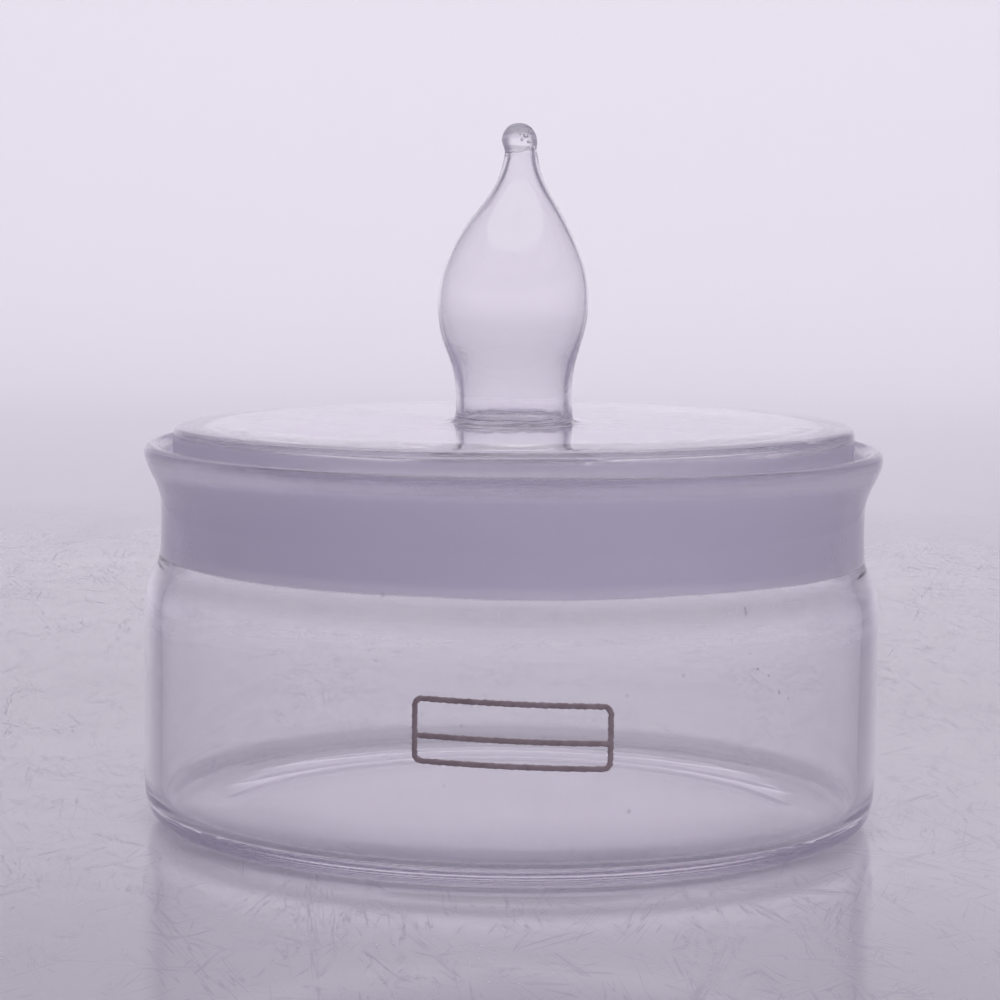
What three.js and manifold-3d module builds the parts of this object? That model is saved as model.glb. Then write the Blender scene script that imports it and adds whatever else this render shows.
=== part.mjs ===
// Low-form glass weighing bottle with a ground-in hollow stopper.
// Millimetres, +Z up, origin at the centre of the flat base.
//
// The bottle is one piece of clear glass: flat base, rounded heel, straight
// wall, shoulder, a necked-in collar whose bore is ground to a taper, and a
// flared fire-polished rim. The stopper is a shallow inverted cup, open below:
// a flat top plate with a tapered ground skirt. A blown hollow knob stands on
// the plate and is sealed at its tip by a solid bead of glass. A fired enamel
// writing frame sits on the front of the wall.

import * as THREE from 'three';
import { mergeVertices } from 'three/addons/utils/BufferGeometryUtils.js';
import Module from 'manifold-3d';

// ---------------------------------------------------------------- sizes (mm)
const WALL_R = 35.0;        // outside radius of the straight wall (70 mm bottle)
const RIM_R = 35.07;        // outside radius of the flared rim
const RIM_Z = 36.0;         // height of the rim
const NECK_R = 33.45;       // outside radius of the ground collar
const HEEL_R = 33.0;        // radius of the flat contact face of the base
const FLOOR_Z = 1.9;        // thickness of the base
const WALL = 1.7;           // thickness of the straight wall

const GROUND_LOW = 25.5;    // lower end of the ground taper
const GROUND_TOP = 33.8;    // upper end of the ground bore
const TAPER = 0.05;         // radius gained per mm of height (taper 1 : 10)
const BORE_LOW_R = 31.87;   // bore radius at the lower end of the taper
const RUN = 0.04;           // radial clearance between stopper and bore
const SKIRT_LOW = 25.9;     // lower end of the stopper's skirt

const PLATE_TOP = 38.1;     // upper face of the stopper plate
const PLATE_T = 1.9;        // plate thickness
const SKIRT_T = 1.6;        // skirt thickness
const STOPPER_LOW_R = BORE_LOW_R - RUN;

const KNOB_SEAL_Z = 63.6;   // where the bead closes the blown knob
const BEAD_R = 1.65;
const BEAD_Z = 64.75;

const MARK_HALF_W = 8.7;    // half width of the enamel frame along the wall
const MARK_HALF_H = 2.95;   // half height
const MARK_X = 0.25;        // centre, measured round the wall from the front
const MARK_Z = 14.0;
const MARK_STROKE = 0.5;
const MARK_SLOPE = -0.035;  // the fired frame sits a little out of level
const MARK_IN = 35.005;
const MARK_OUT = 35.065;

const SEGS = 64;            // facets round the bottle and the stopper
const KNOB_SEGS = 28;
const BEAD_SEGS = 20;

// ------------------------------------------------------------------ helpers
const bore = (z) => BORE_LOW_R + TAPER * (z - GROUND_LOW);
const cone = (z) => STOPPER_LOW_R + TAPER * (z - GROUND_LOW);

// Shared vertices, no collapsed triangles, faces pointing outwards.
function tidy(geometry) {
  const g = geometry.clone();
  for (const name of Object.keys(g.attributes)) if (name !== 'position') g.deleteAttribute(name);
  const merged = mergeVertices(g, 1e-4);
  const p = merged.attributes.position;
  const index = merged.index.array;
  const kept = [];
  let volume = 0;
  const a = new THREE.Vector3();
  const b = new THREE.Vector3();
  const c = new THREE.Vector3();
  for (let i = 0; i < index.length; i += 3) {
    const [u, v, w] = [index[i], index[i + 1], index[i + 2]];
    if (u === v || v === w || w === u) continue;
    kept.push(u, v, w);
    a.fromBufferAttribute(p, u);
    b.fromBufferAttribute(p, v);
    c.fromBufferAttribute(p, w);
    volume += a.dot(b.clone().cross(c)) / 6;
  }
  if (volume < 0) for (let i = 0; i < kept.length; i += 3) [kept[i + 1], kept[i + 2]] = [kept[i + 2], kept[i + 1]];
  merged.setIndex(kept);
  merged.computeVertexNormals();
  return merged;
}

// A profile of [radius, height] pairs turned about the vertical axis.
function turned(profile, segments) {
  const g = new THREE.LatheGeometry(profile.map(([r, z]) => new THREE.Vector2(r, z)), segments);
  g.rotateX(Math.PI / 2);
  return tidy(g);
}

// A bar that follows the facets of the wall from angle a0 to a1, between two
// radii, standing from z0 to z1. Angles run from the front towards +X.
function wallBar(a0, a1, z0, z1) {
  const step = (2 * Math.PI) / SEGS;
  const onFacet = (r, a) => {
    const k = Math.floor(a / step + 1e-9);
    return (r * Math.cos(step / 2)) / Math.cos(a - (k + 0.5) * step);
  };
  const angles = [a0];
  for (let k = Math.ceil(a0 / step + 1e-6); k * step < a1 - 1e-6; k++) angles.push(k * step);
  angles.push(a1);
  const at = (r, a) => new THREE.Vector2(onFacet(r, a) * Math.sin(a), -onFacet(r, a) * Math.cos(a));
  const shape = new THREE.Shape([
    ...angles.map((a) => at(MARK_OUT, a)),
    ...angles.slice().reverse().map((a) => at(MARK_IN, a)),
  ]);
  const g = new THREE.ExtrudeGeometry(shape, { depth: z1 - z0, bevelEnabled: false });
  g.translate(0, 0, z0);
  return tidy(g);
}

const wasm = await Module();
wasm.setup();

function toManifold(geometry) {
  return new wasm.Manifold(new wasm.Mesh({
    numProp: 3,
    vertProperties: new Float32Array(geometry.attributes.position.array),
    triVerts: new Uint32Array(geometry.index.array),
  }));
}

function fromManifold(solid) {
  const mesh = solid.getMesh();
  const g = new THREE.BufferGeometry();
  g.setAttribute('position', new THREE.BufferAttribute(new Float32Array(mesh.vertProperties), 3));
  g.setIndex(new THREE.BufferAttribute(new Uint32Array(mesh.triVerts), 1));
  return tidy(g);
}

// ----------------------------------------------------------------- the bottle
const wallIn = WALL_R - WALL;
const bottleProfile = [
  // underside and heel
  [0, 0], [HEEL_R, 0], [33.8, 0.16], [34.35, 0.45], [34.72, 0.9], [34.94, 1.6], [WALL_R, 2.6],
  // straight wall, shoulder and the necked-in collar
  [WALL_R, 21.4], [34.92, 22.4], [34.66, 23.35], [34.15, 24.15], [33.7, 24.75], [NECK_R, 25.9],
  [NECK_R, 30.6], [33.62, 31.5], [33.98, 32.4], [34.62, 33.6], [34.97, 34.5], [RIM_R, 35.3],
  // rounded rim
  [34.85, 35.85], [34.35, RIM_Z], [33.8, 35.75],
  // flared mouth, ground bore, shoulder inside
  [33.2, 34.95], [bore(GROUND_TOP), GROUND_TOP], [BORE_LOW_R, GROUND_LOW], [32.0, 24.6],
  [32.75, 23.4], [33.2, 22.2], [wallIn, 21.0],
  // inside wall, rounded inner heel and floor
  [wallIn, 5.4], [33.2, 4.2], [32.9, 3.1], [32.3, 2.35], [31.4, FLOOR_Z], [0, FLOOR_Z],
];

// ---------------------------------------------------------------- the stopper
const skirtInLow = STOPPER_LOW_R - SKIRT_T;
const underPlate = PLATE_TOP - PLATE_T;
const stopperProfile = [
  // underside of the plate, then down the inside of the skirt
  [0, underPlate], [28.6, underPlate], [29.9, 35.8], [30.5, 34.7], [skirtInLow, SKIRT_LOW + 0.35],
  // rounded lower edge of the skirt
  [skirtInLow + 0.35, SKIRT_LOW], [STOPPER_LOW_R - 0.25, SKIRT_LOW], [cone(SKIRT_LOW + 0.3), SKIRT_LOW + 0.3],
  // ground cone and the plain wall above it
  [cone(35.6), 35.6], [32.36, 36.8], [32.18, 37.4], [31.75, 37.72],
  // top plate, falling off slightly towards the edge
  [31.2, 37.82], [29.2, 37.94], [27.2, 38.05], [25.8, PLATE_TOP], [0, PLATE_TOP],
];

// ------------------------------------------------------------------- the knob
// Height, outside radius and wall of the blown knob.
const knobStations = [
  [PLATE_TOP, 6.0, 1.15], [38.5, 5.68, 0.85], [39.4, 5.52, 0.75], [41.3, 5.53, 0.7],
  [43.5, 5.84, 0.6], [45.7, 6.58, 0.45], [47.9, 7.05, 0.37], [50.1, 7.12, 0.35],
  [52.3, 6.82, 0.35], [54.5, 6.04, 0.38], [56.6, 4.91, 0.45], [58.8, 3.44, 0.5],
  [60.9, 2.2, 0.52], [62.2, 1.8, 0.6],
];
const knobProfile = [
  ...knobStations.map(([z, r]) => [r, z]),
  [1.56, KNOB_SEAL_Z], [0, KNOB_SEAL_Z], [0, 63.2],
  ...knobStations.slice().reverse().map(([z, r, t]) => [r - t, z]),
  [knobStations[0][1], knobStations[0][0]],
];

const beadProfile = [[0, KNOB_SEAL_Z]];
for (let i = 0; i <= 6; i++) {
  const start = Math.asin((KNOB_SEAL_Z - BEAD_Z) / BEAD_R);
  const t = start + ((Math.PI / 2 - start) * i) / 6;
  beadProfile.push([i === 6 ? 0 : BEAD_R * Math.cos(t), BEAD_Z + BEAD_R * Math.sin(t)]);
}

// ------------------------------------------------------------ the enamel mark
const turn = (s) => s / WALL_R;
const left = turn(MARK_X - MARK_HALF_W);
const right = turn(MARK_X + MARK_HALF_W);
const low = MARK_Z - MARK_HALF_H;
const high = MARK_Z + MARK_HALF_H;
const lineLow = MARK_Z - 0.75;
let frame = toManifold(wallBar(left, right, high - MARK_STROKE, high));
for (const bar of [
  wallBar(left, right, low, low + MARK_STROKE),
  wallBar(left, right, lineLow, lineLow + MARK_STROKE),
  wallBar(left, left + turn(MARK_STROKE), low, high),
  wallBar(right - turn(MARK_STROKE), right, low, high),
]) frame = frame.add(toManifold(bar));
const frameGeometry = fromManifold(frame);
const fp = frameGeometry.attributes.position;
for (let i = 0; i < fp.count; i++) fp.setZ(i, fp.getZ(i) + MARK_SLOPE * fp.getX(i));
frameGeometry.computeVertexNormals();

// ------------------------------------------------------------------ materials
const clearGlass = new THREE.MeshStandardMaterial({
  color: 0xdfdde9, roughness: 0.05, metalness: 0, transparent: true, opacity: 0.35,
});
const groundGlass = new THREE.MeshStandardMaterial({
  color: 0xb4aec2, roughness: 0.55, metalness: 0, transparent: true, opacity: 0.6,
});
const enamel = new THREE.MeshStandardMaterial({ color: 0x6f6066, roughness: 0.5, metalness: 0 });

function piece(name, geometry, material) {
  const mesh = new THREE.Mesh(geometry, material);
  mesh.name = name;
  return mesh;
}

// ------------------------------------------------------------------- assembly
const bottle = new THREE.Group();
bottle.add(
  piece('bottle_body', turned(bottleProfile, SEGS), clearGlass),
  piece('enamel_frame', frameGeometry, enamel),
);

const stopper = new THREE.Group();
stopper.add(
  piece('stopper_shell', turned(stopperProfile, SEGS), groundGlass),
  piece('knob_bulb', turned(knobProfile, KNOB_SEGS), clearGlass),
  piece('knob_bead', turned(beadProfile, BEAD_SEGS), clearGlass),
);

const root = new THREE.Group();
root.add(bottle, stopper);

export default root;
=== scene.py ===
import bpy, math
import numpy as np
from mathutils import Vector, Matrix, noise


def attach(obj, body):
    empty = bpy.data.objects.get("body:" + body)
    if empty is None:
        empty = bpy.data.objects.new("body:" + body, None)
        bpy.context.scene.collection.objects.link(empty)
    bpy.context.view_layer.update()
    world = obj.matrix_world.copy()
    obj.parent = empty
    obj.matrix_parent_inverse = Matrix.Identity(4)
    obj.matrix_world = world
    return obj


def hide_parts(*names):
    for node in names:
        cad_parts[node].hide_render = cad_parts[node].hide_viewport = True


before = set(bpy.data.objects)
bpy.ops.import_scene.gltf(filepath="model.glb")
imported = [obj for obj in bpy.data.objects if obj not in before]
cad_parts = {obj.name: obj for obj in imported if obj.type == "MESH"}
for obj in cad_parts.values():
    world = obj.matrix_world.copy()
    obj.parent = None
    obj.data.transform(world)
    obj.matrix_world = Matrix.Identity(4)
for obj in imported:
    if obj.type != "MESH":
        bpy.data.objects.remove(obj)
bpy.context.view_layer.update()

MM = 0.001
rng = np.random.default_rng(702)
scene = bpy.context.scene


# ------------------------------------------------------------------ helpers
def chaikin(points, labels, rounds):
    """Cuts the corners of an open run of points. Each new point keeps the label of the corner it comes from."""
    pts, lab = np.array(points, float), list(labels)
    for _ in range(rounds):
        out, names = [pts[0]], [lab[0]]
        for i in range(len(pts) - 1):
            a, b = pts[i], pts[i + 1]
            out += [0.75 * a + 0.25 * b, 0.25 * a + 0.75 * b]
            names += [lab[i], lab[i + 1]]
        out.append(pts[-1])
        names.append(lab[-1])
        pts, lab = np.array(out), names
    return pts, lab


def resample(pts, step, tight):
    """Points along the run, closer where it bends, so that each rounded edge is really round."""
    pts = np.asarray(pts)
    seg = np.linalg.norm(np.diff(pts, axis=0), axis=1)
    keep = np.r_[True, seg > 1e-9]
    pts = pts[keep]
    seg = np.linalg.norm(np.diff(pts, axis=0), axis=1)
    s = np.r_[0, np.cumsum(seg)]
    d = np.diff(pts, axis=0) / seg[:, None]
    ang = np.arctan2(d[:, 1], d[:, 0])
    bend = np.abs((np.diff(ang) + np.pi) % (2 * np.pi) - np.pi)
    kappa = np.zeros(len(pts))
    kappa[1:-1] = bend / (0.5 * (seg[:-1] + seg[1:]))
    fine = np.arange(0, s[-1], 0.02)
    k = np.interp(fine, s, kappa)
    k = np.convolve(k, np.ones(15) / 15, "same")
    want = np.clip(tight / np.maximum(k, 1e-6), 0.07, step)
    # let the spacing grow gently away from an edge
    for i in range(1, len(want)):
        want[i] = min(want[i], want[i - 1] + 0.02 * 0.3)
    for i in range(len(want) - 2, -1, -1):
        want[i] = min(want[i], want[i + 1] + 0.02 * 0.3)
    count = np.cumsum(0.02 / want)
    n = max(int(round(count[-1])), 2)
    at = np.interp(np.linspace(0, count[-1], n + 1), count, fine)
    at[0], at[-1] = 0, s[-1]
    return np.stack([np.interp(at, s, pts[:, 0]), np.interp(at, s, pts[:, 1])], 1)


def lathe(runs, segs, shape=None):
    """Closed turned shells. Each run is a list of (r, z) from axis to axis. Returns vertices and faces."""
    verts, faces = [], []
    t = np.linspace(0, 2 * np.pi, segs, endpoint=False)
    for run in runs:
        rings = []
        for r, z in run:
            if r < 1e-6:
                rings.append([len(verts)])
                verts.append((0.0, 0.0, z))
            else:
                rings.append(list(range(len(verts), len(verts) + segs)))
                verts += [(r * math.sin(a), -r * math.cos(a), z) for a in t]
        for a, b in zip(rings, rings[1:]):
            for i in range(segs):
                j = (i + 1) % segs
                if len(a) == 1 and len(b) == 1:
                    continue
                if len(a) == 1:
                    faces.append((a[0], b[j], b[i]))
                elif len(b) == 1:
                    faces.append((a[i], a[j], b[0]))
                else:
                    faces.append((a[i], a[j], b[j], b[i]))
    v = np.array(verts)
    if shape is not None:
        v = shape(v)
    return v, faces


def make(name, verts, faces, body, nodes=(), mats=(), pick=None, smooth=True):
    me = bpy.data.meshes.new(name)
    me.from_pydata([tuple(p) for p in np.asarray(verts) * MM], [], faces)
    me.validate()
    for m in mats:
        me.materials.append(m)
    if pick is not None:
        c = np.array([p.center[:] for p in me.polygons]) / MM
        n = np.array([p.normal[:] for p in me.polygons])
        me.polygons.foreach_set("material_index", pick(c, n).astype(np.int32))
    me.polygons.foreach_set("use_smooth", [smooth] * len(me.polygons))
    me.update()
    ob = bpy.data.objects.new(name, me)
    scene.collection.objects.link(ob)
    if body is not None:
        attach(ob, body)
    if nodes:
        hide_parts(*nodes)
    return ob


def smoothstep(x, a, b):
    t = np.clip((x - a) / (b - a), 0, 1)
    return t * t * (3 - 2 * t)


# -------------------------------------------------------------- node shorthand
class Nodes:
    """A material's node tree, with short calls for the nodes used here."""

    def __init__(self, name):
        self.mat = bpy.data.materials.new(name)
        self.mat.use_nodes = True
        self.t = self.mat.node_tree
        self.t.nodes.clear()
        self.out = self.t.nodes.new("ShaderNodeOutputMaterial")

    def new(self, kind, **props):
        n = self.t.nodes.new(kind)
        for k, v in props.items():
            setattr(n, k, v)
        return n

    def put(self, socket, value):
        if hasattr(value, "is_output"):
            self.t.links.new(value, socket)
        elif value is not None:
            socket.default_value = value

    def coords(self):
        return self.new("ShaderNodeTexCoord").outputs["Object"]

    def mapped(self, scale=(1, 1, 1), loc=(0, 0, 0), rot=(0, 0, 0), vector=None):
        n = self.new("ShaderNodeMapping")
        self.put(n.inputs["Vector"], vector or self.coords())
        n.inputs["Scale"].default_value = scale
        n.inputs["Location"].default_value = loc
        n.inputs["Rotation"].default_value = rot
        return n.outputs[0]

    def noise(self, vector, scale, detail=3, rough=0.5, distort=0.0, out="Fac", flat=False):
        n = self.new("ShaderNodeTexNoise", noise_dimensions="2D" if flat else "3D")
        self.put(n.inputs["Vector"], vector)
        n.inputs["Scale"].default_value = scale
        n.inputs["Detail"].default_value = detail
        n.inputs["Roughness"].default_value = rough
        n.inputs["Distortion"].default_value = distort
        return n.outputs["Fac"] if out == "Fac" else n.outputs["Color"]

    def voronoi(self, vector, scale, feature="F1", rand=1.0, out="Distance", flat=False):
        n = self.new("ShaderNodeTexVoronoi", feature=feature, voronoi_dimensions="2D" if flat else "3D")
        self.put(n.inputs["Vector"], vector)
        n.inputs["Scale"].default_value = scale
        n.inputs["Randomness"].default_value = rand
        return n.outputs[out]

    def math(self, op, a, b=None, c=None, clamp=False):
        n = self.new("ShaderNodeMath", operation=op, use_clamp=clamp)
        self.put(n.inputs[0], a)
        self.put(n.inputs[1], b)
        if c is not None:
            self.put(n.inputs[2], c)
        return n.outputs[0]

    def ramp(self, value, a, b, lo=0.0, hi=1.0, smooth=True):
        n = self.new("ShaderNodeMapRange", interpolation_type="SMOOTHSTEP" if smooth else "LINEAR")
        self.put(n.inputs["Value"], value)
        n.inputs["From Min"].default_value = a
        n.inputs["From Max"].default_value = b
        n.inputs["To Min"].default_value = lo
        n.inputs["To Max"].default_value = hi
        return n.outputs[0]

    def colours(self, value, stops):
        n = self.new("ShaderNodeValToRGB")
        self.put(n.inputs[0], value)
        el = n.color_ramp.elements
        while len(el) < len(stops):
            el.new(0.5)
        for e, (p, c) in zip(el, stops):
            e.position = p
            e.color = (*c, 1)
        return n.outputs[0]

    def mix(self, fac, a, b):
        n = self.new("ShaderNodeMix", data_type="RGBA")
        self.put(n.inputs[0], fac)
        self.put(n.inputs[6], a if hasattr(a, "is_output") else (*a, 1))
        self.put(n.inputs[7], b if hasattr(b, "is_output") else (*b, 1))
        return n.outputs[2]

    def bump(self, height, strength, distance, normal=None):
        n = self.new("ShaderNodeBump")
        self.put(n.inputs["Height"], height)
        n.inputs["Strength"].default_value = strength
        n.inputs["Distance"].default_value = distance
        if normal is not None:
            self.put(n.inputs["Normal"], normal)
        return n.outputs[0]

    def xyz(self, vector=None):
        n = self.new("ShaderNodeSeparateXYZ")
        self.put(n.inputs[0], vector or self.coords())
        return n.outputs

    def bsdf(self, **inputs):
        n = self.new("ShaderNodeBsdfPrincipled")
        for k, v in inputs.items():
            k = k.replace("_", " ")
            self.put(n.inputs[k], (*v, 1) if isinstance(v, tuple) and len(v) == 3 else v)
        return n.outputs[0]

    def blend(self, fac, a, b):
        n = self.new("ShaderNodeMixShader")
        self.put(n.inputs[0], fac)
        self.put(n.inputs[1], a)
        self.put(n.inputs[2], b)
        return n.outputs[0]

    def soft_shadow(self, shader, tint):
        """Light from the lamps, and light between dull surfaces, passes straight through, as it nearly does in thin clear glass."""
        path = self.new("ShaderNodeLightPath")
        open_ = self.new("ShaderNodeBsdfTransparent")
        open_.inputs[0].default_value = (*tint, 1)
        inner = self.blend(path.outputs["Is Diffuse Ray"], shader, open_.outputs[0])
        return self.blend(path.outputs["Is Shadow Ray"], inner, open_.outputs[0])

    def finish(self, surface, deep=False):
        """Deep glass takes a little light away along its path, least in blue, so an edge seen lengthwise is mauve-grey."""
        self.t.links.new(surface, self.out.inputs["Surface"])
        if deep:
            inside = self.new("ShaderNodeVolumeAbsorption")
            inside.inputs["Color"].default_value = (0.14, 0.04, 0.244, 1)
            inside.inputs["Density"].default_value = 5.2
            self.t.links.new(inside.outputs[0], self.out.inputs["Volume"])
        return self.mat


def srgb(r, g, b):
    f = lambda v: (v / 255 / 12.92) if v <= 10.31 else ((v / 255 + 0.055) / 1.055) ** 2.4
    return (f(r), f(g), f(b))


# ------------------------------------------------------------------ materials
def clear_shader(k, wave, specks=0.35, dust=0.0, tint=(0.985, 0.982, 0.993)):
    """Thin clear borosilicate: drawn striae and a few specks and seeds."""
    normal = None
    if wave:
        where = k.ramp(k.noise(k.mapped((55, 90, 40), (2, 6, 1)), 1.0, 2, 0.6), 0.50, 0.66)
        fine = k.math("MULTIPLY", k.noise(k.mapped((1100, 1100, 1100)), 1.0, 3, 0.7), where)
        normal = k.bump(k.math("ADD", k.noise(k.mapped((60, 60, 110)), 1.0, 1, 0.4), k.math("MULTIPLY", fine, 0.7)), 1.0, wave)
    # small specks of dust and pinhead seeds, far apart
    cell = k.voronoi(k.mapped((1, 1, 1)), 330.0)
    rare = k.noise(k.mapped((70, 70, 70), (3, 1, 7)), 1.0, 2, 0.6)
    mask = k.math("MULTIPLY", k.ramp(cell, 0.045, 0.09, 1.0, 0.0), k.ramp(rare, 0.56, 0.68))
    mask = k.math("MULTIPLY", mask, specks)
    glass = k.bsdf(Base_Color=tint, Roughness=0.0, IOR=1.473, Transmission_Weight=1.0, **({"Normal": normal} if normal else {}))
    speck = k.bsdf(Base_Color=srgb(120, 112, 132), Roughness=0.6)
    if dust:
        film = k.noise(k.mapped((150, 150, 150)), 1.0, 6, 0.7)
        smear = k.noise(k.mapped((45, 160, 45), (5, 2, 1)), 1.0, 5, 0.65, 0.8)
        f = k.math("MULTIPLY", k.ramp(film, 0.46, 0.74), k.ramp(smear, 0.42, 0.66))
        glass = k.blend(k.math("MULTIPLY", f, dust), glass, k.bsdf(Base_Color=srgb(226, 222, 232), Roughness=0.5))
    return k.blend(mask, glass, speck)


def clear_glass(name, wave, **kw):
    k = Nodes(name)
    return k.finish(k.soft_shadow(clear_shader(k, wave, **kw), (0.98, 0.977, 0.984)))


def ground_shader(k, veil):
    """Glass ground matt against abrasive: a rough transmitting face with fine turning marks and a thin dull veil."""
    turning = k.noise(k.mapped((30, 30, 2600)), 1.0, 3, 0.6)
    grain = k.noise(k.mapped((5200, 5200, 5200)), 1.0, 2, 0.6)
    cloud = k.noise(k.mapped((90, 90, 160)), 1.0, 4, 0.55)
    height = k.math("ADD", k.math("MULTIPLY", turning, 0.6), k.math("MULTIPLY", grain, 0.5))
    normal = k.bump(height, 0.45, 0.00005)
    rough = k.ramp(cloud, 0.3, 0.7, 0.46, 0.58)
    body = k.bsdf(Base_Color=srgb(232, 229, 240), Roughness=rough, IOR=1.473, Transmission_Weight=1.0, Normal=normal)
    diffuse = k.new("ShaderNodeBsdfDiffuse")
    diffuse.inputs["Color"].default_value = (*srgb(230, 225, 242), 1)
    k.put(diffuse.inputs["Normal"], normal)
    through = k.new("ShaderNodeBsdfTranslucent")
    through.inputs["Color"].default_value = (*srgb(236, 231, 246), 1)
    dull = k.blend(0.55, diffuse.outputs[0], through.outputs[0])
    amount = k.ramp(cloud, 0.3, 0.7, veil - 0.03, veil + 0.03)
    return k.blend(amount, body, dull)


def ground_zone(k, low, high):
    """The grind fades out over a slightly wavy edge."""
    z = k.xyz()[2]
    edge = k.math("ADD", z, k.math("MULTIPLY", k.noise(k.mapped((60, 60, 60)), 1.0, 3, 0.5), 0.0005))
    return k.math(
        "MULTIPLY",
        k.ramp(edge, low * MM + 0.0001, low * MM + 0.0004),
        k.ramp(edge, high * MM - 0.0001, high * MM + 0.0005, 1.0, 0.0),
    )


def ground_glass(name, veil, low, high):
    k = Nodes(name)
    smooth_glass = k.bsdf(Base_Color=(0.985, 0.982, 0.993), Roughness=0.0, IOR=1.473, Transmission_Weight=1.0)
    shader = k.blend(ground_zone(k, low, high), smooth_glass, ground_shader(k, veil))
    return k.finish(k.soft_shadow(shader, (0.92, 0.91, 0.94)))


def bottle_glass(name, veil, low, high, foot):
    """The whole bottle in one: clear glass, ground inside the collar and the flare, and a little colour through its depth."""
    k = Nodes(name)
    x, y, z = k.xyz()[:3]
    r = k.math("SQRT", k.math("ADD", k.math("MULTIPLY", x, x), k.math("MULTIPLY", y, y)))
    inside = k.math("SUBTRACT", k.math("ADD", 0.0329, k.math("MULTIPLY", k.math("MAXIMUM", k.math("SUBTRACT", z, 0.0338), 0.0), 0.75)), r)
    zone = k.math("MULTIPLY", ground_zone(k, low, high), k.ramp(inside, 0.0, 0.0001))
    path = k.new("ShaderNodeLightPath")
    open_ = k.new("ShaderNodeBsdfTransparent")
    thick = k.mix(k.ramp(z, 0.0012, 0.0045), (foot, foot * 0.98, foot * 1.04), (0.98, 0.977, 0.984))
    k.put(open_.inputs[0], k.mix(zone, thick, (0.92, 0.91, 0.94)))
    shader = k.blend(zone, clear_shader(k, 0), ground_shader(k, veil))
    inner = k.blend(path.outputs["Is Diffuse Ray"], shader, open_.outputs[0])
    return k.finish(k.blend(path.outputs["Is Shadow Ray"], inner, open_.outputs[0]), deep=True)


def seam_glass(name):
    """Where the tube's end is fused down on the plate: wrinkled and a little clouded."""
    k = Nodes(name)
    wrinkle = k.noise(k.mapped((520, 900, 520)), 1.0, 4, 0.65, 0.6)
    normal = k.bump(wrinkle, 0.8, 0.00012)
    glass = k.bsdf(Base_Color=(0.975, 0.972, 0.983), Roughness=0.2, IOR=1.473, Transmission_Weight=1.0, Normal=normal)
    dull = k.bsdf(Base_Color=srgb(168, 163, 178), Roughness=0.6, Normal=normal)
    shader = k.blend(k.ramp(wrinkle, 0.36, 0.66, 0.08, 0.6), glass, dull)
    return k.finish(k.soft_shadow(shader, (0.95, 0.947, 0.955)))


def enamel():
    k = Nodes("fired_enamel")
    mottle = k.noise(k.mapped((900, 900, 900)), 1.0, 4, 0.65)
    fine = k.noise(k.mapped((6000, 6000, 6000)), 1.0, 2, 0.6)
    tone = k.math("ADD", k.math("MULTIPLY", mottle, 0.75), k.math("MULTIPLY", fine, 0.25))
    colour = k.colours(tone, [(0.3, srgb(126, 112, 116)), (0.52, srgb(146, 131, 136)), (0.75, srgb(166, 152, 158))])
    normal = k.bump(tone, 0.6, 0.00003)
    return k.finish(k.bsdf(Base_Color=colour, Roughness=k.ramp(mottle, 0.3, 0.7, 0.38, 0.6), Normal=normal))


def backdrop_tone_and_painted_light(k):
    """Pale lavender with painted light and shade: the floor colour is painted brighter under the object's base, painted
    darker around it, and lighter away from the object and behind it than in front. The sweep is brightest low down
    behind the object, with painted shade to the sides, the front and above.
    """
    x, y, z = k.xyz()[:3]
    r = k.math("SQRT", k.math("ADD", k.math("MULTIPLY", x, x), k.math("MULTIPLY", y, y)))
    d = k.math("ADD", r, k.math("MULTIPLY", y, 0.30))
    # painted light fall-off: the floor colour steps from a painted bright patch under the base, through painted shade
    # around it, to lighter further out and behind
    colour = k.colours(k.ramp(d, 0.0, 1.4, smooth=False), [(p, (v * 1.055, v, v * (1.15 - 0.07 * p))) for p, v in FLOOR_PAINTED_LIGHT])
    # painted shade: the sides of the sheet, and less the front, are painted darker in place of dark panels beside the
    # object
    away = k.math("DIVIDE", k.math("SUBTRACT", y, k.math("MULTIPLY", x, 0.05)), k.math("MAXIMUM", r, 0.02))
    side = k.math("MULTIPLY", k.ramp(away, 0.975, 0.80), k.ramp(away, -0.9, 0.1, 0.25, 1.0))
    side = k.math("MULTIPLY", side, k.math("ADD", k.ramp(r, 0.08, 0.22, 0.0, 0.55), k.ramp(r, 0.35, 0.8, 0.0, 0.35)))
    colour = k.mix(side, colour, PAINTED_SHADE_COLOUR)
    # painted shade above: the sweep is painted darker above a slightly tilted line
    edge = k.math("SUBTRACT", z, k.math("MULTIPLY", x, 0.04))
    return k.mix(k.ramp(edge, PAINTED_SHADE_ABOVE[0], PAINTED_SHADE_ABOVE[1], 0.0, PAINTED_SHADE_ABOVE_AMOUNT), colour, PAINTED_SHADE_COLOUR), r


def ridge(k, vector, scale, detail, width):
    """Thin wandering lines: where a noise passes through its middle value."""
    n = k.noise(vector, scale, detail, 0.55, flat=True)
    return k.ramp(k.math("ABSOLUTE", k.math("SUBTRACT", n, 0.5)), 0.0, width, 1.0, 0.0)


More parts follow.
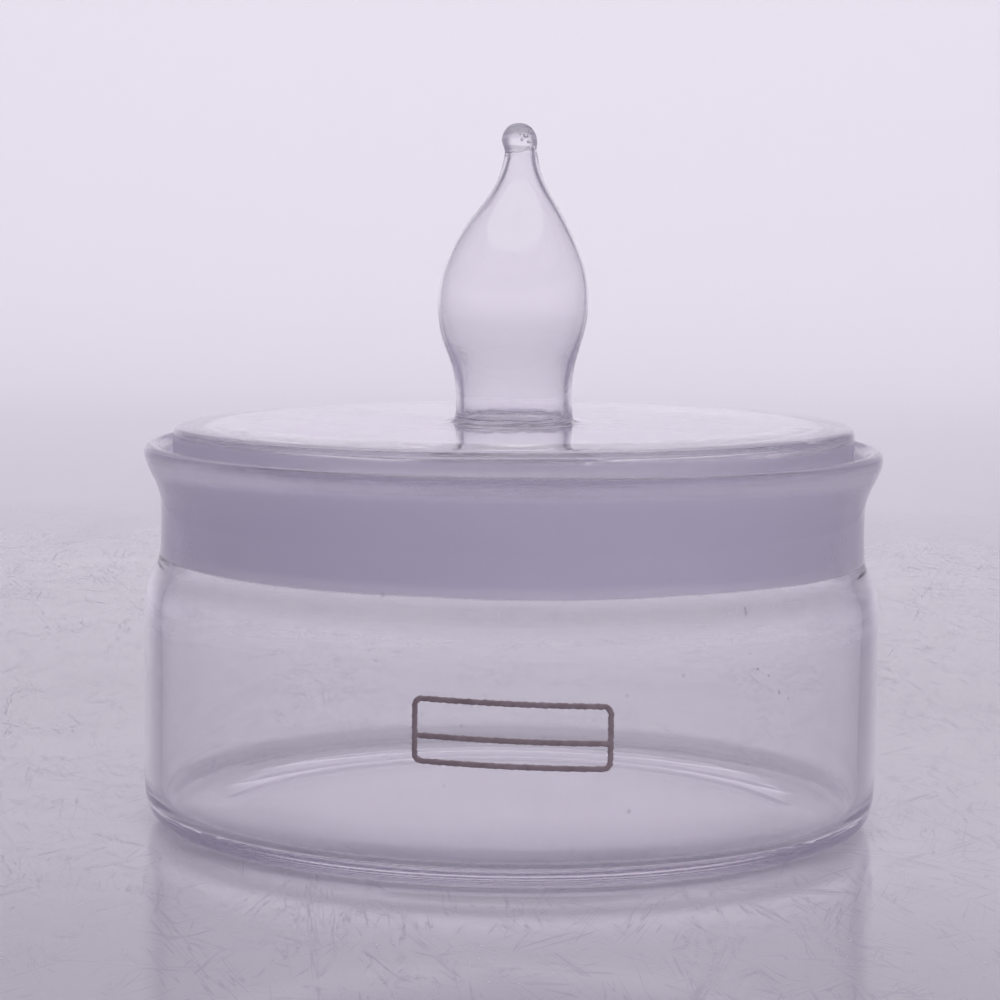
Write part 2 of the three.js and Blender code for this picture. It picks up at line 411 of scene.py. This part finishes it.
def bench():
    """The sheet near the object: half glossy, with hair scratches."""
    k = Nodes("pale_sheet")
    colour, r = backdrop_tone_and_painted_light(k)
    marks = None
    # long hair scratches at several angles, each broken up into short runs
    for i, (along, across, turn, width, cut) in enumerate(
        [(22, 520, 1.25, 0.017, 0.47), (30, 640, 1.78, 0.018, 0.48), (26, 560, 1.48, 0.017, 0.48), (30, 480, 0.8, 0.016, 0.49), (28, 500, -0.9, 0.016, 0.49), (16, 420, 0.15, 0.013, 0.50), (34, 44, 0.3, 0.0035, 0.50)]
    ):
        turned = k.mapped(rot=(0, 0, turn))
        line = ridge(k, k.mapped((along, across, 1), (i * 3.1, i * 1.7, 0), vector=turned), 1.0, 2.0, width)
        part = k.noise(k.mapped((60, 130, 1), (i * 5.0, 2, 0), vector=turned), 1.0, 2, 0.6, flat=True)
        m = k.math("MULTIPLY", line, k.ramp(part, cut, cut + 0.09))
        marks = m if marks is None else k.math("MAXIMUM", marks, m)
    near = k.ramp(r, 0.12, 0.36, 1.0, 0.0)
    marks = k.math("MULTIPLY", marks, near)
    scuff = k.noise(k.mapped((90, 260, 1), (1, 4, 0), (0, 0, 0.3)), 1.0, 5, 0.7, flat=True)
    colour = k.mix(k.math("MULTIPLY", marks, 0.27), colour, srgb(98, 90, 118))
    colour = k.mix(k.math("MULTIPLY", k.ramp(scuff, 0.5, 0.75), k.math("MULTIPLY", near, 0.12)), colour, srgb(150, 143, 166))
    blotch = k.noise(k.mapped((60, 14, 9)), 1.0, 2, 0.6, flat=True)
    rough = k.math("ADD", k.ramp(blotch, 0.3, 0.7, FLOOR_ROUGH[0], FLOOR_ROUGH[1]), k.math("MULTIPLY", marks, 0.2))
    rough = k.math("ADD", rough, k.ramp(r, 0.12, 0.40, 0.0, 0.6 - FLOOR_ROUGH[1]))
    normal = k.bump(k.math("MULTIPLY", blotch, near), 0.25, 0.0003)
    return k.finish(k.bsdf(Base_Color=colour, Roughness=rough, Specular_IOR_Level=FLOOR_SPEC, Normal=normal))


def sweep():
    """The sheet further away, where it rises all round."""
    k = Nodes("pale_sweep")
    colour, r = backdrop_tone_and_painted_light(k)
    return k.finish(k.bsdf(Base_Color=colour, Roughness=0.58, Specular_IOR_Level=FLOOR_SPEC))


# ------------------------------------------------------------------ tuning
# painted light on the floor: brightness stops from the centre outwards, with a painted bright patch under the base
FLOOR_PAINTED_LIGHT = [(0.00, 0.58), (0.012, 0.56), (0.020, 0.425), (0.028, 0.365), (0.040, 0.36), (0.08, 0.325), (0.16, 0.35), (0.28, 0.545), (0.45, 0.60), (0.70, 0.725), (1.00, 0.805)]
# painted shade colour for the sides, the front and above
PAINTED_SHADE_COLOUR = (0.285, 0.26, 0.335)
# height band where the painted shade above begins, and how strong it is
PAINTED_SHADE_ABOVE = (0.205, 0.27)
PAINTED_SHADE_ABOVE_AMOUNT = 0.45
FLOOR_ROUGH = (0.05, 0.09)
FLOOR_SPEC = 0.5

# ------------------------------------------------------------------ the bottle
SEGS = 256
TAPER, BORE_LOW, GROUND_LOW, GROUND_TOP = 0.05, 31.87, 25.5, 33.8
bore = lambda z: BORE_LOW + TAPER * (z - GROUND_LOW)

outer = [
    (0, 0.30), (12, 0.295), (20, 0.275), (24, 0.22), (26, 0.13), (27.4, 0.045), (28.7, 0.005), (29.7, 0.0), (30.7, 0.0), (31.9, 0.04), (33.0, 0.23), (33.8, 0.64), (34.4, 1.28), (34.75, 2.2), (34.93, 3.3), (34.99, 5.0),
    (35.0, 10.0), (35.0, 16.0), (35.0, 19.8), (34.98, 21.2), (34.83, 22.4), (34.48, 23.4), (34.02, 24.2), (33.66, 24.95), (33.5, 25.8),
    (33.45, 27.0), (33.43, 30.0), (33.55, 31.2), (33.92, 32.3), (34.5, 33.4), (34.95, 34.4), (35.08, 35.2),
    (34.95, 35.8), (34.45, 36.02), (33.95, 35.9), (33.6, 35.4), (33.2, 34.8),
]
inner = [
    (32.55, 34.25), (bore(33.6), 33.6), (bore(31), 31), (bore(28), 28), (bore(25.9), 25.9), (31.93, 25.1), (32.2, 24.1),
    (32.68, 22.95), (33.08, 21.8), (33.28, 20.4), (33.32, 17.0), (33.32, 12.0), (33.32, 5.2), (33.3, 3.9), (33.15, 2.95),
    (32.7, 2.3), (31.9, 2.0), (30.8, 1.91), (28.0, 1.9), (20, 1.9), (0, 1.9),
]
prof, _ = chaikin(outer + inner, [""] * (len(outer) + len(inner)), 3)
prof = resample(prof, 0.8, 0.10)
prof[0, 0] = prof[-1, 0] = 0.0


def settle_bottle(v):
    """Hand-worked glass isn't perfectly round: slow waves of a few hundredths of a millimetre, from the heel up to the
    shoulder.
    """
    t = np.arctan2(v[:, 0], -v[:, 1])
    r = np.hypot(v[:, 0], v[:, 1])
    z = v[:, 2]
    w = 0.03 * np.sin(2 * t + 0.7) + 0.018 * np.sin(3 * t + 0.13 * z) + 0.012 * np.sin(5 * t + 2.0)
    fade = smoothstep(z, 0.5, 4) * (1 - smoothstep(z, 24.5, 25.5))
    nr = r + w * fade * np.clip(r / 20, 0, 1)
    s = np.where(r > 1e-9, nr / np.maximum(r, 1e-9), 1)
    v = v.copy()
    v[:, 0] *= s
    v[:, 1] *= s
    inside = (r < 32.8) & (z > 1.0) & (z < 3.5)
    v[:, 2] += np.where(inside, 0.04 * np.sin(1.0 * t + 0.4) * smoothstep(r, 8, 30) , 0)
    return v


v, f = lathe([prof], SEGS, settle_bottle)
m_clear = clear_glass("clear_glass", 0)
m_bottle = bottle_glass("bottle_glass", 0.5, 25.2, 35.1, 0.62)
bottle = make("bottle_glass", v, f, "bottle", ["bottle_body"], [m_bottle])

# ------------------------------------------------------------------ the stopper
LOW_R = BORE_LOW - 0.04
cone = lambda z: LOW_R + TAPER * (z - GROUND_LOW)
under = [
    (0, 36.2), (15, 36.2), (25, 36.2), (29.2, 36.18), (29.95, 36.0), (30.28, 35.4), (30.32, 34.0), (30.25, 30.0), (30.2, 27.4),
    (30.25, 26.45), (30.55, 26.0), (31.1, 25.88), (31.6, 26.0),
]
side = [
    (cone(26.5), 26.5), (cone(29), 29), (cone(32), 32), (cone(35), 35), (32.34, 36.2), (32.33, 37.0), (32.3, 37.36),
    (32.2, 37.6), (31.98, 37.77), (31.6, 37.86), (30.8, 37.93), (29.6, 37.99), (27.7, 38.06), (26.9, 38.09), (26.2, 38.1), (25.0, 38.1), (20, 38.1), (12, 38.1), (7.0, 38.1),
]
knob = [
    (6.3, 38.12), (5.82, 38.24), (5.62, 38.6), (5.54, 39.3), (5.5, 40.0), (5.5, 41.0), (5.6, 42.2), (5.86, 43.55), (6.25, 44.7), (6.62, 45.75),
    (6.92, 46.9), (7.08, 48.0), (7.15, 49.1), (7.13, 50.2), (7.03, 51.3), (6.83, 52.35), (6.5, 53.4), (6.05, 54.5),
    (5.5, 55.6), (4.88, 56.7), (4.15, 57.8), (3.42, 58.85), (2.75, 59.9), (2.2, 60.95), (1.85, 61.9), (1.67, 62.7),
    (1.57, 63.3), (1.5, 63.72), (1.56, 64.05), (1.65, 64.35), (1.69, 64.75), (1.6, 65.22), (1.34, 65.72), (0.95, 66.1), (0.48, 66.3), (0.0, 66.34),
]
chain = under + side + knob
prof, _ = chaikin(chain, [""] * len(chain), 3)
prof = resample(prof, 0.8, 0.10)
prof[0, 0] = prof[-1, 0] = 0.0

# the sealed space inside the knob, from its floor up to the bead
hollow = [
    (0, 38.17), (1.3, 38.17), (2.6, 38.17), (3.8, 38.17), (4.55, 38.19), (4.8, 38.32), (4.84, 38.7), (4.81, 39.6), (4.8, 41.0), (4.93, 42.2),
    (5.25, 43.55), (5.72, 44.7), (6.16, 45.75), (6.52, 46.9), (6.73, 48.0), (6.83, 49.1), (6.81, 50.2), (6.69, 51.3), (6.48, 52.35), (6.13, 53.4), (5.66, 54.5),
    (5.08, 55.6), (4.43, 56.7), (3.68, 57.8), (2.93, 58.85), (2.24, 59.9), (1.68, 60.95), (1.32, 61.9), (1.13, 62.7),
    (1.05, 63.3), (1.02, 63.8), (0.93, 63.98), (0.74, 63.84), (0.4, 63.62), (0, 63.55),
]
cav, _ = chaikin(hollow, [""] * len(hollow), 3)
cav = resample(cav, 0.6, 0.10)
cav[0, 0] = cav[-1, 0] = 0.0

LEAN_Z = [38.1, 39.2, 41.4, 43.6, 45.7, 47.9, 50.1, 52.3, 54.5, 56.6, 58.8, 61.0, 63.3, 64.7, 66.5]
LEAN_X = [0.0, 0.0, -0.06, -0.15, -0.27, -0.23, -0.18, -0.13, -0.06, 0.07, 0.30, 0.35, 0.37, 0.19, 0.15]


def settle_stopper(v):
    """The drawn knob wanders a little off its axis, its foot is fused on unevenly, the cavity's tip is skewed, and the plate isn't quite square to the cone."""
    v = v.copy()
    x, y, z = v[:, 0].copy(), v[:, 1].copy(), v[:, 2].copy()
    r = np.hypot(x, y)
    t = np.arctan2(x, -y)
    # the cavity's top under the bead slopes up to the right
    top = (z > 62.8) & (r < 1.3) & (z < 64.2)
    v[:, 2] += np.where(top, 0.42 * x * smoothstep(z, 62.8, 63.8), 0)
    # knob wander
    up = z > 38.15
    near_knob = r < 8.5
    v[:, 0] += np.where(up & near_knob, np.interp(z, LEAN_Z, LEAN_X), 0)
    v[:, 1] += np.where(up & near_knob, 0.5 * np.interp(z, LEAN_Z, LEAN_X), 0)
    # uneven fused ring at the foot
    ring = np.exp(-((r - 6.1) / 0.7) ** 2) * np.exp(-((z - 38.3) / 0.4) ** 2)
    v[:, 2] += ring * (0.06 * np.sin(3 * t + 0.5) + 0.04 * np.sin(7 * t + 1.2) + 0.03 * np.sin(13 * t))
    # lumps where the tube's end was fused down, seen through the knob's wall
    seam = (z > 38.16) & (z < 39.0) & (r < 5.0)
    lumps = np.array([noise.noise(Vector((a * 0.8, b * 0.8, c * 0.8))) + 0.35 * noise.noise(Vector((a * 1.9, b * 1.9, c * 1.9 + 9.0))) for a, b, c in zip(x[seam], y[seam], z[seam])])
    amount = 0.11 * (1 - smoothstep(z[seam], 38.35, 38.95)) * smoothstep(r[seam], 1.0, 3.8)
    v[seam, 2] += amount * np.maximum(lumps + 0.25, -0.1)
    v[seam, 0] -= 0.8 * amount * lumps * x[seam] / np.maximum(r[seam], 1)
    v[seam, 1] -= 0.8 * amount * lumps * y[seam] / np.maximum(r[seam], 1)
    # slow waves in the top plate
    plate = (z > 35.9) & (z < 38.3) & (r < 31)
    v[:, 2] += np.where(plate, 0.012 * np.sin(x / 4.1 + 0.4) * np.cos(y / 5.3) + 0.004 * np.sin((x + y) / 2.3), 0)
    # the top is about half a degree out of square with the cone
    v[:, 2] += 0.009 * x * smoothstep(z, 33.0, 37.6) * (z < 38.3)
    return v


v, f = lathe([prof, cav[::-1]], SEGS, settle_stopper)
# seeds trapped in the bead: a small irregular cluster of closed bubbles
SEEDS = [(0.45, -0.40, 65.05, 0.21, 0.8), (0.74, -0.10, 65.30, 0.13, 1.2), (0.20, -0.55, 64.78, 0.12, 1.0), (0.60, 0.25, 64.62, 0.17, 0.6), (-0.10, 0.10, 65.40, 0.07, 1.0), (0.95, -0.20, 64.88, 0.09, 1.1), (0.05, -0.20, 65.12, 0.09, 0.8)]
for cx, cy, cz, rad, tall in SEEDS:
    b, g = lathe([[(rad * math.sin(a), rad * tall * math.cos(a)) for a in np.linspace(0, math.pi, 9)]], 14)
    b = b * (1 + 0.35 * np.array([[noise.noise(Vector(p) * 6 + Vector((cx, cy, cz)) * 7)] for p in b])) + (cx + 0.19, cy + 0.09, cz)
    f += [tuple(i + len(v) for i in q) for q in g]
    v = np.r_[v, b]
m_skirt = ground_glass("ground_skirt", 0.40, 25.3, 37.0)
m_plate = clear_glass("plate_glass", 0.000006, specks=0.6, dust=0.4)
m_knob = clear_glass("knob_glass", 0, specks=0.3)
m_seam = seam_glass("fused_seam")


def stopper_pick(c, n):
    r = np.hypot(c[:, 0], c[:, 1])
    outward = (n[:, 0] * c[:, 0] + n[:, 1] * c[:, 1]) > 0
    skirt = outward & (r > 31.3) & (c[:, 2] < 37.75)
    knob_ = (c[:, 2] > 38.25) & (r < 9)
    plate = ~skirt & ~knob_ & (n[:, 2] > 0.5) & (c[:, 2] > 37)
    fused = (r < 4.95) & (c[:, 2] > 38.1) & (c[:, 2] < 38.42)
    return np.select([skirt, fused, knob_, plate], [1, 4, 2, 3], 0)


stopper = make(
    "stopper_glass", v, f, "stopper", ["stopper_shell", "knob_bulb", "knob_bead"], [m_clear, m_skirt, m_knob, m_plate, m_seam], stopper_pick
)

# ------------------------------------------------------------- the enamel frame
MARK_X, MARK_Z, HALF_W, HALF_H, STROKE, SLOPE = 0.25, 14.0, 8.7, 2.95, 0.5, -0.035


def rounded_box(px, pz, hw, hh, rad):
    qx, qz = np.abs(px) - hw + rad, np.abs(pz) - hh + rad
    return np.minimum(np.maximum(qx, qz), 0) + np.hypot(np.maximum(qx, 0), np.maximum(qz, 0)) - rad


def mark_distance(p):
    """Signed distance to the printed strokes, a little uneven as a screen print is."""
    s, z = p[:, 0], p[:, 1]
    outer_ = rounded_box(s, z, HALF_W, HALF_H, 0.9)
    ring = np.abs(outer_ + STROKE / 2) - STROKE / 2
    line = np.maximum(np.abs(z + 0.5) - STROKE / 2, np.abs(s) - HALF_W + 0.3)
    d = np.minimum(ring, line)
    rag = 0.022 * np.sin(s * 9.1 + 1.3 * np.sin(z * 7.0)) + 0.016 * np.sin(z * 13.0 + s * 4.0) + 0.012 * np.sin(s * 23.0 + z * 17.0)
    return d + rag


cell = 0.085
ns, nz = int(2 * (HALF_W + 0.3) / cell), int(2 * (HALF_H + 0.3) / cell)
gs = np.linspace(-HALF_W - 0.3, HALF_W + 0.3, ns + 1)
gz = np.linspace(-HALF_H - 0.3, HALF_H + 0.3, nz + 1)
P = np.stack(np.meshgrid(gs, gz, indexing="ij"), -1).reshape(-1, 2)
centres = np.stack(np.meshgrid((gs[:-1] + gs[1:]) / 2, (gz[:-1] + gz[1:]) / 2, indexing="ij"), -1).reshape(-1, 2)
inside = (mark_distance(centres) < 0).reshape(ns, nz)
used = {}
cells = []
for i in range(ns):
    for j in range(nz):
        if inside[i, j]:
            cells.append([i * (nz + 1) + j, (i + 1) * (nz + 1) + j, (i + 1) * (nz + 1) + j + 1, i * (nz + 1) + j + 1])
for c_ in cells:
    for q in c_:
        used.setdefault(q, len(used))
ids = np.array(sorted(used, key=used.get))
pts = P[ids].copy()
count = {}
for c_ in cells:
    for a, b in zip(c_, c_[1:] + c_[:1]):
        e = (used[a], used[b])
        count[e] = count.get(e, 0) + 1
border = [e for e in count if (e[1], e[0]) not in count]
on_border = np.zeros(len(pts), bool)
for a, b in border:
    on_border[a] = on_border[b] = True
for _ in range(4):
    d = mark_distance(pts[on_border])
    g = np.stack(
        [
            (mark_distance(pts[on_border] + [0.01, 0]) - mark_distance(pts[on_border] - [0.01, 0])) / 0.02,
            (mark_distance(pts[on_border] + [0, 0.01]) - mark_distance(pts[on_border] - [0, 0.01])) / 0.02,
        ],
        1,
    )
    g2 = np.maximum((g**2).sum(1), 0.25)
    step_ = -np.clip(d / g2, -0.06, 0.06)[:, None] * g
    pts[on_border] += step_
depth = np.clip(-mark_distance(pts), 0, 1)
thick = 0.008 + 0.042 * smoothstep(depth, 0.0, 0.13)


def on_wall(p, rr):
    a = (p[:, 0] + MARK_X) / 35.0
    x = rr * np.sin(a)
    return np.stack([x, -rr * np.cos(a), MARK_Z + p[:, 1] + SLOPE * x], 1)


# the wall's own slow waves, so that the print lies on the glass
def wall_r(p):
    a = (p[:, 0] + MARK_X) / 35.0
    z = MARK_Z + p[:, 1]
    return 35.0 + 0.03 * np.sin(2 * a + 0.7) + 0.018 * np.sin(3 * a + 0.13 * z) + 0.012 * np.sin(5 * a + 2.0)


base_r = wall_r(pts)
top_v = on_wall(pts, base_r + thick)
low_v = on_wall(pts, base_r + 0.002)
nv = len(pts)
mv = np.r_[top_v, low_v]
mf = [tuple(used[q] for q in c_) for c_ in cells]
mf += [tuple(reversed([used[q] + nv for q in c_])) for c_ in cells]
mf += [(b, a, a + nv, b + nv) for a, b in border]
mark = make("enamel_print", mv, mf, "bottle", ["enamel_frame"], [enamel()])

# ------------------------------------------------------------------- the stage
flat, bend, top = 0.62, 0.42, 1.25
prof = [(0.0, 0.0)] + [(r, 0.0) for r in np.linspace(0.01, flat, 24)]
prof += [(flat + bend * math.sin(a), bend - bend * math.cos(a)) for a in np.linspace(0.06, math.pi / 2, 20)]
prof += [(flat + bend, z) for z in np.linspace(bend + 0.05, top, 12)]
sv, sf = lathe([[(r / MM, z / MM) for r, z in prof]], 128)
sf = [tuple(reversed(q)) for q in sf]
floor = make("table_sheet", sv, sf, None, mats=[bench(), sweep()], pick=lambda c, n: (np.hypot(c[:, 0], c[:, 1]) > 400).astype(int))


def softbox(name, where, aim, size, radiance, glossy=True):
    """A rectangular soft light, given by how bright its face is."""
    data = bpy.data.lights.new(name, "AREA")
    data.shape = "RECTANGLE"
    data.size, data.size_y = size
    data.energy = radiance * math.pi * size[0] * size[1]
    ob = bpy.data.objects.new(name, data)
    ob.location = where
    ob.rotation_euler = (Vector(aim) - Vector(where)).to_track_quat("-Z", "Y").to_euler()
    ob.visible_glossy = ob.visible_transmission = glossy
    scene.collection.objects.link(ob)
    return ob


softbox("top_light", (0.0, 0.15, 1.22), (0, 0.10, 0), (1.2, 1.2), 1.3, glossy=False)
softbox("back_light", (0.0, 0.35, 0.95), (0, 1.0, 0.12), (0.7, 0.25), 4.5, glossy=False)
softbox("side_light", (0.60, -0.42, 0.50), (0, 0, 0.03), (0.45, 0.45), 3.0, glossy=False)

world = bpy.data.worlds.new("studio")
world.use_nodes = True
scene.world = world
bg = world.node_tree.nodes["Background"]
bg.inputs[0].default_value = (1.0, 1.0, 1.0, 1)
bg.inputs[1].default_value = 0.75

# ------------------------------------------------------------------ the camera
D, H, F = 0.300, 0.0611, 3156.0
pitch, roll, yaw = math.radians(5.817), math.radians(0.70), math.radians(-0.235)
fw = Vector((math.sin(yaw) * math.cos(pitch), math.cos(yaw) * math.cos(pitch), -math.sin(pitch)))
right = fw.cross(Vector((0, 0, 1))).normalized()
up = right.cross(fw)
R = right * math.cos(roll) + up * math.sin(roll)
U = -right * math.sin(roll) + up * math.cos(roll)
cam = bpy.data.cameras.new("camera")
cam.sensor_width, cam.sensor_fit = 36.0, "HORIZONTAL"
cam.lens = F * 36.0 / 1000.0
cam.clip_start, cam.clip_end = 0.01, 20.0
camera = bpy.data.objects.new("camera", cam)
camera.matrix_world = Matrix(
    ((R.x, U.x, -fw.x, 0.0), (R.y, U.y, -fw.y, -D), (R.z, U.z, -fw.z, H), (0, 0, 0, 1))
)
scene.collection.objects.link(camera)
scene.camera = camera

# ------------------------------------------------------------- light transport
cy = scene.cycles
cy.max_bounces, cy.transmission_bounces, cy.glossy_bounces = 48, 32, 40
cy.diffuse_bounces, cy.transparent_max_bounces = 3, 24
cy.caustics_reflective = cy.caustics_refractive = False
cy.sample_clamp_indirect = 6.0
cy.use_denoising = True
cy.denoiser = "OPENIMAGEDENOISE"
cy.denoising_input_passes = "RGB_ALBEDO_NORMAL"
scene.view_settings.view_transform = "Standard"
scene.view_settings.look = "None"
